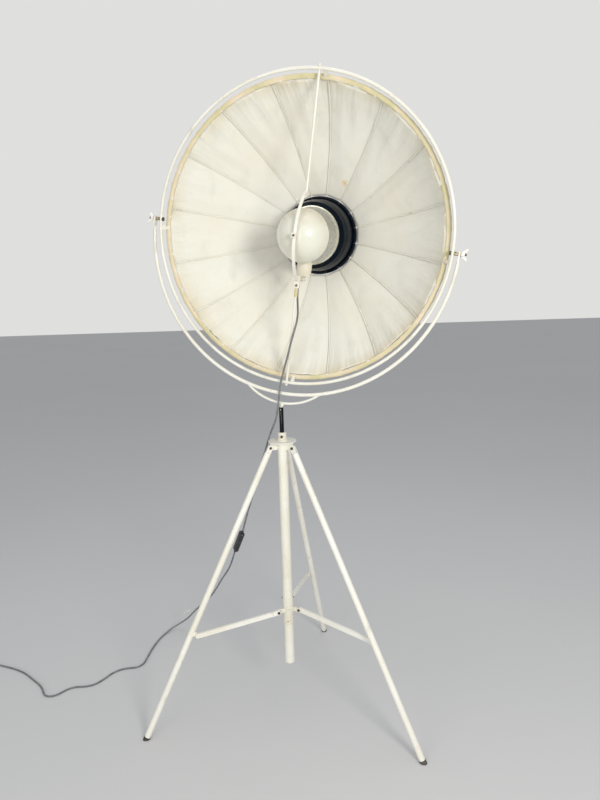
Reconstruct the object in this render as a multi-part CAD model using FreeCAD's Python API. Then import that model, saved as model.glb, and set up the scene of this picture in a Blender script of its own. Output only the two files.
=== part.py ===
import FreeCAD, Part
import math
import os

from FreeCAD import Placement, Rotation, Vector

# Tripod spotlight floor lamp with a large fabric dish, in millimetres.
# Origin: on the floor under the middle of the post. +Z up, +X right and +Y away from a
# viewer who stands in front of the lamp.

# ---------------------------------------------------------------- driving dimensions
POST_R = 16.0
POST_WALL = 1.5
POST_BOTTOM_Z = 171.0
DISC_Z = 944.0
DISC_R = 45.0
DISC_T = 3.0

COLLAR_R = 14.0
COLLAR_TOP_Z = 974.0

LEG_AZIMUTHS = (195.5, 323.0, 72.5)
LEG_R = 10.0
LEG_WALL = 1.2
LEG_HINGE_RADIUS = 41.0
LEG_HINGE_Z = 926.0
FOOT_RADIUS = 488.0
FOOT_Z = 8.0
FOOT_R = 10.8
FOOT_GRIP = 20.0

LINK_RADIUS = 38.0
LINK_Z = 364.0
STRUT_ALONG_LEG = 648.0
STRUT_INSET = 18.0
STRUT_SIDE = 15.0
STRUT_DEPTH = 15.0
STRUT_T = 8.0
FOLDED_LEG_ANGLE = 2.6

SLIDER_R = 18.0
SLIDER_BOTTOM_Z = 314.0
SLIDER_TOP_Z = 413.0

MAST_R = 7.0
MAST_BOTTOM_Z = 430.0
LEAN_PIN_Z = 1048.0
FORK_ABOVE_PIN = 7.0
MAST_TOP_Z = LEAN_PIN_Z + FORK_ABOVE_PIN

HEAD_YAW = 17.7
HEAD_LEAN = 9.05
CENTRE_LEAN = 7.8
HEAD_TILT = 3.3
PIVOT_ABOVE_YOKE_CENTRE = 11.5

RING_RADIUS = 455.0
RING_TUBE_R = 5.0
YOKE_TUBE_R = 5.5
RING_TO_YOKE_GAP = 9.0
YOKE_RADIUS = RING_RADIUS + RING_TUBE_R + RING_TO_YOKE_GAP + YOKE_TUBE_R
BRACE_HALF_SPAN = 120.0
BRACE_R = 4.0
BRACE_GAP = 22.0
BRACE_DROP = YOKE_RADIUS + YOKE_TUBE_R + BRACE_GAP + BRACE_R
LEAN_TO_YOKE_CENTRE = BRACE_DROP + 3 * FORK_ABOVE_PIN

HOOP_INSIDE_RING = 21.0
HOOP_RADIUS = RING_RADIUS - HOOP_INSIDE_RING
HOOP_DEPTH = 18.5
HOOP_TUBE_R = 3.0

RIB_COUNT = 16
RIB_R = 2.0
RIB_START_ANGLE = -18.0
RIB_MID_RADIUS = 287.0
RIB_MID_DEPTH = 170.0
HUB_RADIUS = 127.0
HUB_DEPTH = 250.0
FABRIC_T = 1.2

CENTRE_X = 11.0
ROD_R = 4.0
SPHERE_R = 80.0
SPHERE_DEPTH = 14.0
SHIELD_WALL = 1.2

SOCKET_X = 12.0
SOCKET_DEPTH = 62.0
SOCKET_R = 23.0
SOCKET_TOP = -78.0
SOCKET_BOTTOM = -124.0

# Fits: a shaft in its hole, and faces of pieces that move past each other.
RUNNING_GAP = 0.06
SIDE_GAP = 0.4

X_AXIS = Vector(1, 0, 0)
Y_AXIS = Vector(0, 1, 0)
Z_AXIS = Vector(0, 0, 1)

os.makedirs("parts", exist_ok=True)


# ---------------------------------------------------------------- helpers
def save(name, shape):
    solids = shape.Solids
    if not solids or not shape.isValid():
        print("BAD SHAPE", name, len(solids), shape.isValid())
    if len(solids) == 1:
        shape = solids[0]
    shape.exportStep("parts/" + name + ".step")
    box = shape.BoundBox
    print("%-22s %3d solid(s) %9.1f mm3  z %.1f..%.1f" % (name, len(solids), shape.Volume, box.ZMin, box.ZMax))


def rod(start, end, radius):
    along = end - start
    return Part.makeCylinder(radius, along.Length, start, along)


def pipe(start, end, outer, inner):
    return rod(start, end, outer).cut(rod(start, end, inner))


def block(x0, x1, y0, y1, z0, z1):
    return Part.makeBox(x1 - x0, y1 - y0, z1 - z0, Vector(x0, y0, z0))


def placed(shape, placement):
    moved = shape.copy()
    moved.Placement = placement.multiply(moved.Placement)
    return moved


def fused(shapes):
    return shapes[0].multiFuse(shapes[1:]).removeSplitter()


def spun(points, axis_point, axis_dir):
    closed = Part.makePolygon(points + [points[0]])
    return Part.Face(closed).revolve(axis_point, axis_dir, 360)


def swept(wire, radius):
    first = wire.Edges[0]
    start = first.valueAt(first.FirstParameter)
    heading = first.tangentAt(first.FirstParameter)
    profile = Part.Wire([Part.makeCircle(radius, start, heading)])
    return wire.makePipeShell([profile], True, False)


def arc_edge(start, middle, end):
    return Part.Arc(start, middle, end).toShape()


def hex_prism(across_flats, height, base, direction):
    radius = across_flats / math.sqrt(3)
    corners = [
        Vector(radius * math.cos(math.radians(60 * i)), radius * math.sin(math.radians(60 * i)), 0)
        for i in range(7)
    ]
    prism = Part.Face(Part.makePolygon(corners)).extrude(Vector(0, 0, height))
    return placed(prism, Placement(base, Rotation(Z_AXIS, direction)))


# ---------------------------------------------------------------- frames
def leg_place(azimuth):
    return Placement(Vector(0, 0, 0), Rotation(Z_AXIS, azimuth))


TURN_YAW = Rotation(Z_AXIS, -HEAD_YAW)
YOKE_TURN = TURN_YAW.multiply(Rotation(Y_AXIS, HEAD_LEAN))
LEAN_PIVOT = Vector(0, 0, LEAN_PIN_Z)
CENTRE_TURN = TURN_YAW.multiply(Rotation(Y_AXIS, CENTRE_LEAN))
YOKE_CENTRE = LEAN_PIVOT + CENTRE_TURN.multVec(Vector(0, 0, LEAN_TO_YOKE_CENTRE))
HEAD_CENTRE = YOKE_CENTRE + YOKE_TURN.multVec(Vector(0, 0, PIVOT_ABOVE_YOKE_CENTRE))
HEAD_TURN = YOKE_TURN.multiply(Rotation(X_AXIS, HEAD_TILT))
YOKE_PLACE = Placement(YOKE_CENTRE, YOKE_TURN)
HEAD_PLACE = Placement(HEAD_CENTRE, HEAD_TURN)
PIVOT_PLACE = Placement(HEAD_CENTRE, YOKE_TURN)
MAST_PLACE = Placement(LEAN_PIVOT, TURN_YAW)

# Lean pin in the yoke's own frame, whose origin is the middle of the yoke's arc.
BOSS_ANGLE = HEAD_LEAN - CENTRE_LEAN
BOSS_DIRECTION = Vector(math.sin(math.radians(BOSS_ANGLE)), 0, -math.cos(math.radians(BOSS_ANGLE)))
BOSS_TURN = Rotation(Y_AXIS, -BOSS_ANGLE)

# Leg and strut lines in a leg's own plane: X outwards, Y sideways, Z up.
LEG_HINGE = Vector(LEG_HINGE_RADIUS, 0, LEG_HINGE_Z)
LEG_DIRECTION = (Vector(FOOT_RADIUS, 0, FOOT_Z) - LEG_HINGE).normalize()
LEG_ANGLE = math.degrees(math.atan2(LEG_DIRECTION.x, -LEG_DIRECTION.z))
LEG_INWARD = Vector(LEG_DIRECTION.z, 0, -LEG_DIRECTION.x)
STRUT_OUTER = LEG_HINGE + LEG_DIRECTION * STRUT_ALONG_LEG + LEG_INWARD * STRUT_INSET
STRUT_INNER = Vector(LINK_RADIUS, 0, LINK_Z)
STRUT_LENGTH = (STRUT_OUTER - STRUT_INNER).Length
STRUT_ANGLE = math.degrees(math.atan2(STRUT_INNER.z - STRUT_OUTER.z, STRUT_OUTER.x - STRUT_INNER.x))


def folded_link():
    """Collar travel and strut angle when the legs are folded."""
    angle = math.radians(FOLDED_LEG_ANGLE)
    x = LEG_HINGE_RADIUS + STRUT_ALONG_LEG * math.sin(angle) - STRUT_INSET * math.cos(angle)
    z = LEG_HINGE_Z - STRUT_ALONG_LEG * math.cos(angle) - STRUT_INSET * math.sin(angle)
    rise = math.sqrt(STRUT_LENGTH ** 2 - (x - LINK_RADIUS) ** 2)
    return z + rise - LINK_Z, math.degrees(math.atan2(rise, x - LINK_RADIUS))


# ---------------------------------------------------------------- post and top
def make_post():
    tube = pipe(Vector(0, 0, POST_BOTTOM_Z), Vector(0, 0, DISC_Z), POST_R, POST_R - POST_WALL)
    save("post_tube", tube)

    cap_r = POST_R + 0.5
    spigot_r = POST_R - POST_WALL
    low = POST_BOTTOM_Z
    profile = [
        Vector(0, 0, low - 4), Vector(9, 0, low - 4), Vector(14, 0, low - 2.5), Vector(cap_r, 0, low + 1),
        Vector(cap_r, 0, low + 10), Vector(POST_R, 0, low + 10), Vector(POST_R, 0, low),
        Vector(spigot_r, 0, low), Vector(spigot_r, 0, low + 14), Vector(0, 0, low + 14),
    ]
    save("post_end_cap", spun(profile, Vector(0, 0, 0), Z_AXIS))


def make_top():
    mast_hole_r = MAST_R + RUNNING_GAP
    disc = Part.makeCylinder(DISC_R, DISC_T, Vector(0, 0, DISC_Z))
    disc = disc.cut(Part.makeCylinder(mast_hole_r + 1, DISC_T, Vector(0, 0, DISC_Z)))
    rim = [edge for edge in disc.Edges if abs(edge.BoundBox.XLength - 2 * DISC_R) < 0.1]
    save("top_disc", disc.makeFillet(0.9, rim))

    base_z = DISC_Z + DISC_T
    flange_r = COLLAR_R + 3.5
    profile = [
        Vector(mast_hole_r, 0, base_z), Vector(flange_r, 0, base_z), Vector(flange_r, 0, base_z + 3),
        Vector(COLLAR_R, 0, base_z + 5.5), Vector(COLLAR_R, 0, COLLAR_TOP_Z - 1.2),
        Vector(COLLAR_R - 1.2, 0, COLLAR_TOP_Z), Vector(mast_hole_r, 0, COLLAR_TOP_Z),
    ]
    collar = spun(profile, Vector(0, 0, 0), Z_AXIS)
    screw_z = base_z + 15
    screw_axis = Vector(-0.1, -1, 0).normalize()
    screw_seat = Vector(0, 0, screw_z)
    screw_r = 2.5
    collar = collar.cut(rod(screw_seat, screw_seat + screw_axis * (COLLAR_R + 1), screw_r + RUNNING_GAP))
    save("top_collar", collar)

    stem_start = screw_seat + screw_axis * (MAST_R + SIDE_GAP)
    head_start = screw_seat + screw_axis * (COLLAR_R + SIDE_GAP)
    head_end = head_start + screw_axis * 3.2
    screw = rod(stem_start, head_start, screw_r).fuse(rod(head_start, head_end, 4.2))
    socket = hex_prism(3.0, 2.4, head_end - screw_axis * 2.0, screw_axis)
    save("mast_clamp_screw", screw.cut(socket).removeSplitter())
    print("mast_clamp_screw at", stem_start, "axis", screw_axis)


TONGUE_T = 3.2
FORK_INNER = TONGUE_T / 2 + SIDE_GAP
FORK_T = 3.0
HINGE_PIN_R = 2.5
LUG_END_R = 8.0


def make_leg_lugs():
    sleeve_bottom = LEG_HINGE_Z - LUG_END_R
    shapes = [pipe(Vector(0, 0, sleeve_bottom), Vector(0, 0, DISC_Z), POST_R + 2.5, POST_R)]
    for azimuth in LEG_AZIMUTHS:
        plate = block(POST_R + 1, LEG_HINGE_RADIUS, -TONGUE_T / 2, TONGUE_T / 2, sleeve_bottom, DISC_Z)
        half = Vector(0, TONGUE_T / 2, 0)
        nose = rod(LEG_HINGE - half, LEG_HINGE + half, LUG_END_R)
        hole = rod(LEG_HINGE - half * 2, LEG_HINGE + half * 2, HINGE_PIN_R)
        shapes.append(placed(plate.fuse(nose).cut(hole), leg_place(azimuth)))
    save("leg_lugs", fused(shapes))


def make_leg_pins():
    pins = []
    reach = Vector(0, FORK_INNER + FORK_T + SIDE_GAP, 0)
    head = Vector(0, 2.6, 0)
    for azimuth in LEG_AZIMUTHS:
        shank = rod(LEG_HINGE - reach, LEG_HINGE + reach, HINGE_PIN_R)
        front = rod(LEG_HINGE - reach - head, LEG_HINGE - reach, 4.6)
        back = hex_prism(8.0, head.Length, LEG_HINGE + reach, Y_AXIS)
        pins.append(placed(fused([shank, front, back]), leg_place(azimuth)))
    save("leg_hinge_screws", Part.makeCompound(pins))


# ---------------------------------------------------------------- legs
LEG_TO_FLOOR = LEG_HINGE_Z / -LEG_DIRECTION.z
LEG_TUBE_START = 18.0
LEG_TUBE_END = LEG_TO_FLOOR - 9.0
TAB_T = 3.2
TAB_OUTER = STRUT_SIDE - STRUT_T / 2 - 0.8


def make_leg(index, azimuth):
    place = leg_place(azimuth)
    start = LEG_HINGE + LEG_DIRECTION * LEG_TUBE_START
    end = LEG_HINGE + LEG_DIRECTION * LEG_TUBE_END
    tube = pipe(start, end, LEG_R, LEG_R - LEG_WALL)

    # Fork at the top: two cheeks with a rounded end, one each side of the lug.
    to_leg = Placement(LEG_HINGE, Rotation(Y_AXIS, -LEG_ANGLE))
    cheeks = []
    for side in (-1, 1):
        inner = side * FORK_INNER
        outer = side * (FORK_INNER + FORK_T)
        plate = block(-LUG_END_R, LUG_END_R, min(inner, outer), max(inner, outer), -42, 0)
        nose = rod(Vector(0, inner, 0), Vector(0, outer, 0), LUG_END_R)
        cheeks.append(placed(plate.fuse(nose), to_leg))
    pin_hole = rod(LEG_HINGE - Y_AXIS * 12, LEG_HINGE + Y_AXIS * 12, HINGE_PIN_R + RUNNING_GAP)

    # Tab for the strut, on the flank of the tube.
    tab_low = Vector(0, TAB_OUTER - TAB_T, 0)
    tab_high = Vector(0, TAB_OUTER, 0)
    tab_nose = rod(STRUT_OUTER + tab_low, STRUT_OUTER + tab_high, 7.0)
    tab = placed(
        block(-STRUT_INSET, 3, tab_low.y, tab_high.y, -7, 7),
        Placement(LEG_HINGE + LEG_DIRECTION * STRUT_ALONG_LEG, Rotation(Y_AXIS, -LEG_ANGLE)),
    )
    bore = rod(LEG_HINGE + LEG_DIRECTION * 46, end, LEG_R - LEG_WALL)
    leg = fused([tube] + cheeks + [tab.cut(bore), tab_nose]).cut(pin_hole)
    save("leg_tube_%d" % index, placed(leg, place))

    # Rubber foot: a plug in the tube's end with a short tip, cut flat on the floor.
    grip_start = LEG_HINGE + LEG_DIRECTION * (LEG_TUBE_END - FOOT_GRIP)
    beyond = LEG_HINGE + LEG_DIRECTION * (LEG_TO_FLOOR + 14)
    foot = rod(end, beyond, FOOT_R).fuse(rod(grip_start, beyond, LEG_R - LEG_WALL)).removeSplitter()
    below = block(FOOT_RADIUS - 80, FOOT_RADIUS + 80, -40, 40, -60, 0)
    foot = foot.cut(below)
    save("leg_foot_%d" % index, placed(foot, place))
    sole = place.multVec(LEG_HINGE + LEG_DIRECTION * LEG_TO_FLOOR)
    print("foot sole", index, sole, "leg hinge", place.multVec(LEG_HINGE), "axis", place.Rotation.multVec(Y_AXIS))


def make_strut(index, azimuth):
    place = leg_place(azimuth)
    low = STRUT_SIDE - STRUT_T / 2
    high = STRUT_SIDE + STRUT_T / 2
    end_r = STRUT_DEPTH / 2
    to_strut = Placement(STRUT_INNER, Rotation(Y_AXIS, STRUT_ANGLE))
    body = block(0, STRUT_LENGTH, low, high, -end_r, end_r)
    for x in (0, STRUT_LENGTH):
        body = body.fuse(rod(Vector(x, low, 0), Vector(x, high, 0), end_r))
    wall = 1.6
    channel = block(22, STRUT_LENGTH - 22, low + wall, high - wall, -end_r - 1, end_r - wall)
    inner_hole = rod(Vector(0, 0, 0), Vector(0, 40, 0), HINGE_PIN_R + RUNNING_GAP)
    outer_hole = rod(Vector(STRUT_LENGTH, 0, 0), Vector(STRUT_LENGTH, 40, 0), HINGE_PIN_R)
    bar = placed(body.removeSplitter().cut(channel).cut(inner_hole).cut(outer_hole), to_strut)

    # The rivet at the leg stays with the strut and stops just short of the leg's tab.
    stop = TAB_OUTER + SIDE_GAP
    shank = rod(STRUT_OUTER + Y_AXIS * stop, STRUT_OUTER + Y_AXIS * (high + 1.5), HINGE_PIN_R)
    head = rod(STRUT_OUTER + Y_AXIS * high, STRUT_OUTER + Y_AXIS * (high + 2.4), 4.6)
    rivet = shank.fuse(head).removeSplitter()
    save("strut_%d" % index, placed(Part.makeCompound([bar, rivet]), place))
    print("strut", index, "pivot", place.multVec(STRUT_INNER + Y_AXIS * STRUT_SIDE))


def make_slider():
    bore_r = POST_R + RUNNING_GAP
    profile = [
        Vector(bore_r, 0, SLIDER_BOTTOM_Z), Vector(SLIDER_R - 1, 0, SLIDER_BOTTOM_Z),
        Vector(SLIDER_R, 0, SLIDER_BOTTOM_Z + 3), Vector(SLIDER_R, 0, SLIDER_TOP_Z - 3),
        Vector(SLIDER_R - 1, 0, SLIDER_TOP_Z), Vector(bore_r, 0, SLIDER_TOP_Z),
    ]
    shapes = [spun(profile, Vector(0, 0, 0), Z_AXIS)]
    pins = []
    lug_outer = STRUT_SIDE - STRUT_T / 2 - SIDE_GAP
    lug_inner = lug_outer - TONGUE_T
    strut_outer_face = STRUT_SIDE + STRUT_T / 2 + SIDE_GAP
    for azimuth in LEG_AZIMUTHS:
        place = leg_place(azimuth)
        plate = block(13, LINK_RADIUS, lug_inner, lug_outer, LINK_Z - 7.5, LINK_Z + 7.5)
        nose = rod(Vector(LINK_RADIUS, lug_inner, LINK_Z), Vector(LINK_RADIUS, lug_outer, LINK_Z), 7.5)
        shapes.append(placed(plate.fuse(nose), place))
        inner = Vector(LINK_RADIUS, lug_inner - 2.4, LINK_Z)
        outer = Vector(LINK_RADIUS, strut_outer_face + 2.4, LINK_Z)
        shank = rod(inner, outer, HINGE_PIN_R)
        heads = [
            rod(inner, inner + Y_AXIS * 2.4, 4.4),
            rod(outer - Y_AXIS * 2.4, outer, 4.4),
        ]
        pins.append(placed(fused([shank] + heads), place))
    slider = fused(shapes)
    post_bore = Part.makeCylinder(bore_r, 200, Vector(0, 0, SLIDER_BOTTOM_Z - 50))
    slider = slider.cut(post_bore)
    for azimuth in LEG_AZIMUTHS:
        hole = rod(Vector(LINK_RADIUS, 0, LINK_Z), Vector(LINK_RADIUS, 30, LINK_Z), HINGE_PIN_R)
        slider = slider.cut(placed(hole, leg_place(azimuth)))

    # Front clamp screw and two small set screws near the top edge.
    clamp_axis = Vector(0, -1, 0)
    clamp_seat = Vector(0, 0, LINK_Z + 2)
    clamp_r = 3.0
    slider = slider.cut(rod(clamp_seat, clamp_seat + clamp_axis * 24, clamp_r + RUNNING_GAP))
    set_screws = []
    for side in (-1, 1):
        seat = Vector(0, 0, SLIDER_TOP_Z - 8)
        axis = Vector(side, 0, 0)
        slider = slider.cut(rod(seat + axis * 10, seat + axis * 24, 2.5))
        screw = rod(seat + axis * (POST_R + SIDE_GAP), seat + axis * (SLIDER_R + 2.2), 2.5)
        set_screws.append(screw.cut(hex_prism(2.5, 1.6, seat + axis * (SLIDER_R + 0.8), axis)))
    save("slide_collar", slider)
    save("collar_pins", Part.makeCompound(pins))
    save("collar_set_screws", Part.makeCompound(set_screws))

    stem_start = clamp_seat + clamp_axis * (POST_R + SIDE_GAP)
    head_start = clamp_seat + clamp_axis * (SLIDER_R + SIDE_GAP)
    head_end = head_start + clamp_axis * 4.0
    screw = rod(stem_start, head_start, clamp_r).fuse(hex_prism(9.0, 4.0, head_start, clamp_axis))
    save("collar_clamp_screw", screw.removeSplitter())
    print("collar_clamp_screw at", stem_start, "axis", clamp_axis, "to", head_end)


# ---------------------------------------------------------------- mast
def make_mast():
    shaft = Part.makeCylinder(MAST_R, MAST_TOP_Z - MAST_BOTTOM_Z, Vector(0, 0, MAST_BOTTOM_Z))
    slot_half = TONGUE_T / 2 + SIDE_GAP
    slot = block(-MAST_R - 1, MAST_R + 1, -slot_half, slot_half, LEAN_PIN_Z - 9, MAST_TOP_Z + 1)
    pin_hole = rod(Vector(0, -10, LEAN_PIN_Z), Vector(0, 10, LEAN_PIN_Z), 2.0)
    turn = Placement(Vector(0, 0, 0), TURN_YAW)
    bush_seat_r = 5.0
    bush_bottom = MAST_BOTTOM_Z + 8
    bush_top = bush_bottom + 30
    waist = pipe(Vector(0, 0, bush_bottom), Vector(0, 0, bush_top), MAST_R + 1, bush_seat_r)
    save("mast_rod", placed(shaft.cut(slot).cut(pin_hole).cut(waist), turn))

    lean_pin = rod(Vector(0, -MAST_R + 0.6, LEAN_PIN_Z), Vector(0, MAST_R - 0.6, LEAN_PIN_Z), 2.0)
    save("lean_pin", placed(lean_pin, turn))

    bush_low = Vector(0, 0, bush_bottom + SIDE_GAP)
    bush_high = Vector(0, 0, bush_top - SIDE_GAP)
    bush = pipe(bush_low, bush_high, POST_R - POST_WALL - RUNNING_GAP, bush_seat_r + RUNNING_GAP)
    save("mast_bush", bush)


# ---------------------------------------------------------------- yoke
PIVOT_BOLT_R = 3.0
EYE_R = 8.5
EYE_INNER = YOKE_RADIUS - 2.5
EYE_OUTER = YOKE_RADIUS + 2.5


def make_yoke():
    reach = math.sqrt(YOKE_RADIUS ** 2 - PIVOT_ABOVE_YOKE_CENTRE ** 2)
    eye_start = 22.0
    start_z = PIVOT_ABOVE_YOKE_CENTRE - eye_start
    start_x = math.sqrt(YOKE_RADIUS ** 2 - start_z ** 2)
    arc = arc_edge(Vector(-start_x, 0, start_z), Vector(0, 0, -YOKE_RADIUS), Vector(start_x, 0, start_z))
    tube = swept(Part.Wire([arc]), YOKE_TUBE_R)
    shapes = [tube]
    for side in (-1, 1):
        inner = side * EYE_INNER
        outer = side * EYE_OUTER
        eye = rod(Vector(inner, 0, PIVOT_ABOVE_YOKE_CENTRE), Vector(outer, 0, PIVOT_ABOVE_YOKE_CENTRE), EYE_R)
        flat = block(
            min(inner, outer), max(inner, outer), -EYE_R, EYE_R, start_z - 4, PIVOT_ABOVE_YOKE_CENTRE
        )
        shapes += [eye, flat]
    yoke = fused(shapes)
    hole_start = Vector(-reach - 20, 0, PIVOT_ABOVE_YOKE_CENTRE)
    hole_end = Vector(reach + 20, 0, PIVOT_ABOVE_YOKE_CENTRE)
    yoke = yoke.cut(rod(hole_start, hole_end, PIVOT_BOLT_R + RUNNING_GAP))
    save("yoke_arc", placed(yoke, YOKE_PLACE))

    # Brace under the arc, with the boss and tongue that the mast's fork takes.
    end_z = -math.sqrt(YOKE_RADIUS ** 2 - BRACE_HALF_SPAN ** 2)
    bow = arc_edge(
        Vector(-BRACE_HALF_SPAN, 0, end_z), Vector(0, 0, -BRACE_DROP), Vector(BRACE_HALF_SPAN, 0, end_z)
    )
    bow_tube = swept(Part.Wire([bow]), BRACE_R)
    boss = rod(Vector(0, 0, -BRACE_DROP + 2), Vector(0, 0, -BRACE_DROP - 9), 6.5)
    tip = -LEAN_TO_YOKE_CENTRE
    tongue = block(-4.4, 4.4, -TONGUE_T / 2, TONGUE_T / 2, tip, -BRACE_DROP - 5)
    nose = rod(Vector(0, -TONGUE_T / 2, tip), Vector(0, TONGUE_T / 2, tip), 4.4)
    pin_hole = rod(Vector(0, -10, tip), Vector(0, 10, tip), 2.0 + RUNNING_GAP)
    brace = fused([bow_tube, boss, tongue, nose]).cut(pin_hole)
    brace = placed(brace, Placement(Vector(0, 0, 0), BOSS_TURN))
    brace = brace.cut(tube)
    save("yoke_brace", placed(brace, YOKE_PLACE))


# ---------------------------------------------------------------- tilt pivots
def make_pivots():
    ring_inner = RING_RADIUS - RING_TUBE_R
    spacer_inner = RING_RADIUS + RING_TUBE_R + 0.2
    spacer_outer = EYE_INNER - SIDE_GAP
    washer_inner = EYE_OUTER + SIDE_GAP
    washer_outer = washer_inner + 1.6
    nut_inner = washer_outer + SIDE_GAP
    nut_outer = nut_inner + 10.0
    bolt_end = nut_outer + 5.0
    for name, side in (("left", -1), ("right", 1)):
        def at(x):
            return Vector(side * x, 0, 0)

        head = rod(at(ring_inner - 4.0), at(ring_inner - 0.4), 6.0)
        bolt = head.fuse(rod(at(ring_inner - 1), at(bolt_end), PIVOT_BOLT_R)).removeSplitter()
        save("pivot_bolt_" + name, placed(bolt, PIVOT_PLACE))
        spacer = pipe(at(spacer_inner), at(spacer_outer), 5.5, PIVOT_BOLT_R)
        washer = pipe(at(washer_inner), at(washer_outer), 8.0, PIVOT_BOLT_R)
        save("pivot_washers_" + name, placed(Part.makeCompound([spacer, washer]), PIVOT_PLACE))

        cone = Part.makeCone(6.5, 4.8, nut_outer - nut_inner, at(nut_inner), at(1))
        wings = []
        for up in (-1, 1):
            blade = [
                at(nut_inner + 1) + Vector(0, 0, up * 3), at(nut_inner + 4) + Vector(0, 0, up * 9),
                at(nut_inner + 13) + Vector(0, 0, up * 17), at(nut_inner + 18) + Vector(0, 0, up * 17),
                at(nut_inner + 17) + Vector(0, 0, up * 11), at(nut_inner + 9) + Vector(0, 0, up * 3),
            ]
            face = Part.Face(Part.makePolygon(blade + [blade[0]]))
            wings.append(face.extrude(Vector(0, 2.4, 0)).translated(Vector(0, -1.2, 0)))
        nut = fused([cone] + wings).cut(rod(at(nut_inner - 1), at(bolt_end + 9), PIVOT_BOLT_R + RUNNING_GAP))
        turned = Placement(Vector(0, 0, 0), Rotation(X_AXIS, side * 18))
        save("wing_nut_" + name, placed(placed(nut, turned), PIVOT_PLACE))


# ---------------------------------------------------------------- ring, hoop, ribs, fabric
CLIP_ANGLES = (3.2, 86.3, 176.8, 273.7)


def ring_torus(radius, tube_r, depth):
    return Part.makeTorus(radius, tube_r, Vector(0, depth, 0), Y_AXIS)


def spindle_z(radius):
    return math.sqrt(radius ** 2 - CENTRE_X ** 2)


def make_ring():
    ring = ring_torus(RING_RADIUS, RING_TUBE_R, 0)
    for side in (-1, 1):
        near = Vector(side * (RING_RADIUS - 12), 0, 0)
        far = Vector(side * (RING_RADIUS + 12), 0, 0)
        unturned = Placement(Vector(0, 0, 0), Rotation(X_AXIS, -HEAD_TILT))
        ring = ring.cut(placed(rod(near, far, PIVOT_BOLT_R), unturned))
        top = side * spindle_z(RING_RADIUS)
        ring = ring.cut(rod(Vector(CENTRE_X, 0, top - 12), Vector(CENTRE_X, 0, top + 12), 2.5))
    save("outer_ring", placed(ring, HEAD_PLACE))
    save("rim_hoop", placed(ring_torus(HOOP_RADIUS, HOOP_TUBE_R, HOOP_DEPTH), HEAD_PLACE))

    # Four clips carry the hoop on the ring, each a bent strip with a screw through it.
    clips = []
    for angle in CLIP_ANGLES:
        low = Vector(HOOP_RADIUS, HOOP_DEPTH - HOOP_TUBE_R, 0)
        high = Vector(RING_RADIUS - RING_TUBE_R, 0, 0)
        slope = math.degrees(math.atan2(low.y - high.y, high.x - low.x))
        span = (high - low).Length
        strip = block(-2.0, span + 2.0, -0.8, 0.8, -6, 6)
        screw = rod(Vector(span / 2, -3.0, 0), Vector(span / 2, 2.0, 0), 2.6)
        clip = strip.fuse(screw).removeSplitter()
        clip = placed(clip, Placement(low, Rotation(Z_AXIS, -slope)))
        clip = clip.cut(ring_torus(HOOP_RADIUS, HOOP_TUBE_R, HOOP_DEPTH))
        clip = clip.cut(ring_torus(RING_RADIUS, RING_TUBE_R, 0))
        clips.append(placed(clip, Placement(Vector(0, 0, 0), Rotation(Y_AXIS, angle))))
    save("ring_clips", placed(Part.makeCompound(clips), HEAD_PLACE))


def rib_arc():
    return Part.Arc(
        Vector(HOOP_RADIUS, HOOP_DEPTH, 0),
        Vector(RIB_MID_RADIUS, RIB_MID_DEPTH, 0),
        Vector(HUB_RADIUS - 4, HUB_DEPTH + 2.2, 0),
    )


def rib_turn(index):
    return Placement(Vector(0, 0, 0), Rotation(Y_AXIS, RIB_START_ANGLE + index * 360.0 / RIB_COUNT - 90))


def rib_solids():
    rib = swept(Part.Wire([rib_arc().toShape()]), RIB_R)
    rib = rib.cut(ring_torus(HOOP_RADIUS, HOOP_TUBE_R, HOOP_DEPTH))
    return [placed(rib, rib_turn(i)) for i in range(RIB_COUNT)]


def make_ribs():
    save("dish_ribs", placed(Part.makeCompound(rib_solids()), HEAD_PLACE))


def rib_offset_points(count, offset, first, last):
    """Points behind the rib's arc, from the hoop to the hub, offset away from the arc's middle."""
    edge = rib_arc().toShape()
    centre = edge.Curve.Center
    points = []
    for i in range(count + 1):
        share = first + (last - first) * i / count
        on_arc = edge.valueAt(edge.FirstParameter + share * (edge.LastParameter - edge.FirstParameter))
        outward = (on_arc - centre).normalize()
        points.append(on_arc + outward * offset)
    return points


def gored_shell(front, back):
    """Closed shell of flat facets: polygons of RIB_COUNT sides with their corners at the ribs."""
    outline = front + back[::-1]
    rings = []
    for point in outline:
        rings.append([rib_turn(i).multVec(point) for i in range(RIB_COUNT)])
    faces = []
    for j in range(len(rings)):
        this_ring = rings[j]
        next_ring = rings[(j + 1) % len(rings)]
        for i in range(RIB_COUNT):
            k = (i + 1) % RIB_COUNT
            corners = [this_ring[i], this_ring[k], next_ring[k], next_ring[i]]
            faces.append(Part.Face(Part.makePolygon(corners + [corners[0]])))
    solid = Part.Solid(Part.Shell(faces))
    if solid.Volume < 0:
        solid.reverse()
    return solid


CLOTH_END_SHARE = 0.975


def make_fabric():
    clearance = 1.1
    front = rib_offset_points(8, RIB_R + clearance, 0.0, CLOTH_END_SHARE)
    back = rib_offset_points(8, RIB_R + clearance + FABRIC_T, 0.0, CLOTH_END_SHARE)
    # Hem: the cloth turns forward over the outside of the hoop.
    lip_r = HOOP_RADIUS + HOOP_TUBE_R + 1.6
    corner = 1 / math.cos(math.pi / RIB_COUNT)
    front = [Vector(lip_r * corner, HOOP_DEPTH - 6, 0), Vector(lip_r * corner, HOOP_DEPTH + 3, 0)] + front[1:]
    back = [
        Vector((lip_r + FABRIC_T) * corner, HOOP_DEPTH - 6, 0),
        Vector((lip_r + FABRIC_T) * corner, HOOP_DEPTH + 3.6, 0),
    ] + back[1:]
    save("dish_fabric", placed(gored_shell(front, back), HEAD_PLACE))


# ---------------------------------------------------------------- hub
BELL_BASE_R = 119.0
BELL_BASE_DEPTH = 258.0
BELL_MOUTH_R = 94.0
BELL_MOUTH_DEPTH = 146.0


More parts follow.
